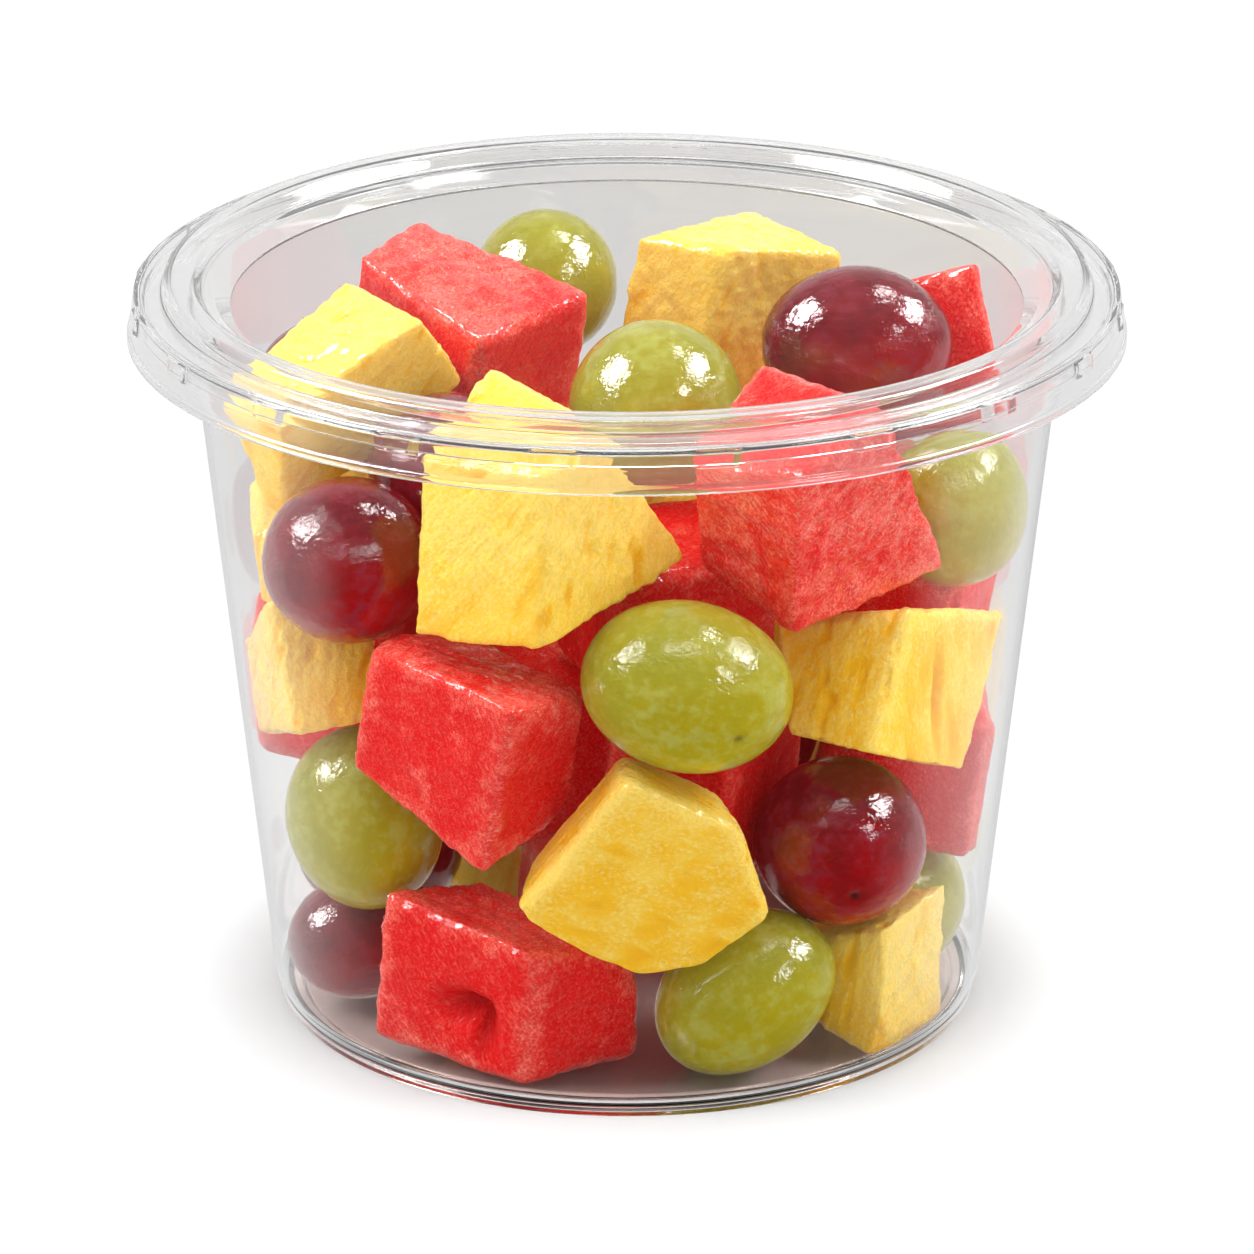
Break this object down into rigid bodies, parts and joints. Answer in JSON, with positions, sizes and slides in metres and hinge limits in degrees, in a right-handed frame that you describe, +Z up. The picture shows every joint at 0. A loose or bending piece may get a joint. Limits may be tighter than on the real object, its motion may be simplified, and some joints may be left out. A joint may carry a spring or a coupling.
{
  "type": "fruit cup",
  "caption": "Clear tapered plastic deli cup with a press-on lid, full of cut watermelon and pineapple cubes and whole green and red grapes.",
  "frame": {"origin": "centre of the cup's foot ring, on the surface it stands on", "axes": "+Z up along the cup's axis, -Y towards the front"},
  "size_m": [0.12, 0.12, 0.0923],
  "materials": {
    "clear_plastic": "clear, glossy thermoformed sheet",
    "watermelon": "wet, granular red flesh",
    "pineapple": "wet, fibrous yellow flesh",
    "green_grape": "glossy translucent skin",
    "red_grape": "glossy dark skin with a little bloom"
  },
  "bodies": {
    "root": {"cup": "clear_plastic", "green_grape_01": "green_grape", "green_grape_02": "green_grape", "green_grape_03": "green_grape", "green_grape_04": "green_grape", "green_grape_05": "green_grape", "green_grape_06": "green_grape", "green_grape_07": "green_grape", "green_grape_08": "green_grape", "green_grape_09": "green_grape", "green_grape_10": "green_grape", "lid": "clear_plastic", "pineapple_01": "pineapple", "pineapple_02": "pineapple", "pineapple_03": "pineapple", "pineapple_04": "pineapple", "pineapple_05": "pineapple", "pineapple_06": "pineapple", "pineapple_07": "pineapple", "pineapple_08": "pineapple", "pineapple_09": "pineapple", "pineapple_10": "pineapple", "pineapple_11": "pineapple", "pineapple_wedge": "pineapple", "red_grape_01": "red_grape", "red_grape_02": "red_grape", "red_grape_03": "red_grape", "red_grape_04": "red_grape", "red_grape_05": "red_grape", "red_grape_06": "red_grape", "red_grape_07": "red_grape", "red_grape_08": "red_grape", "red_grape_09": "red_grape", "watermelon_01": "watermelon", "watermelon_02": "watermelon", "watermelon_03": "watermelon", "watermelon_04": "watermelon", "watermelon_05": "watermelon", "watermelon_06": "watermelon", "watermelon_07": "watermelon", "watermelon_08": "watermelon", "watermelon_09": "watermelon", "watermelon_10": "watermelon", "watermelon_11": "watermelon", "watermelon_12": "watermelon", "watermelon_13": "watermelon", "watermelon_14": "watermelon", "watermelon_15": "watermelon", "watermelon_16": "watermelon"}
  },
  "joints": []
}
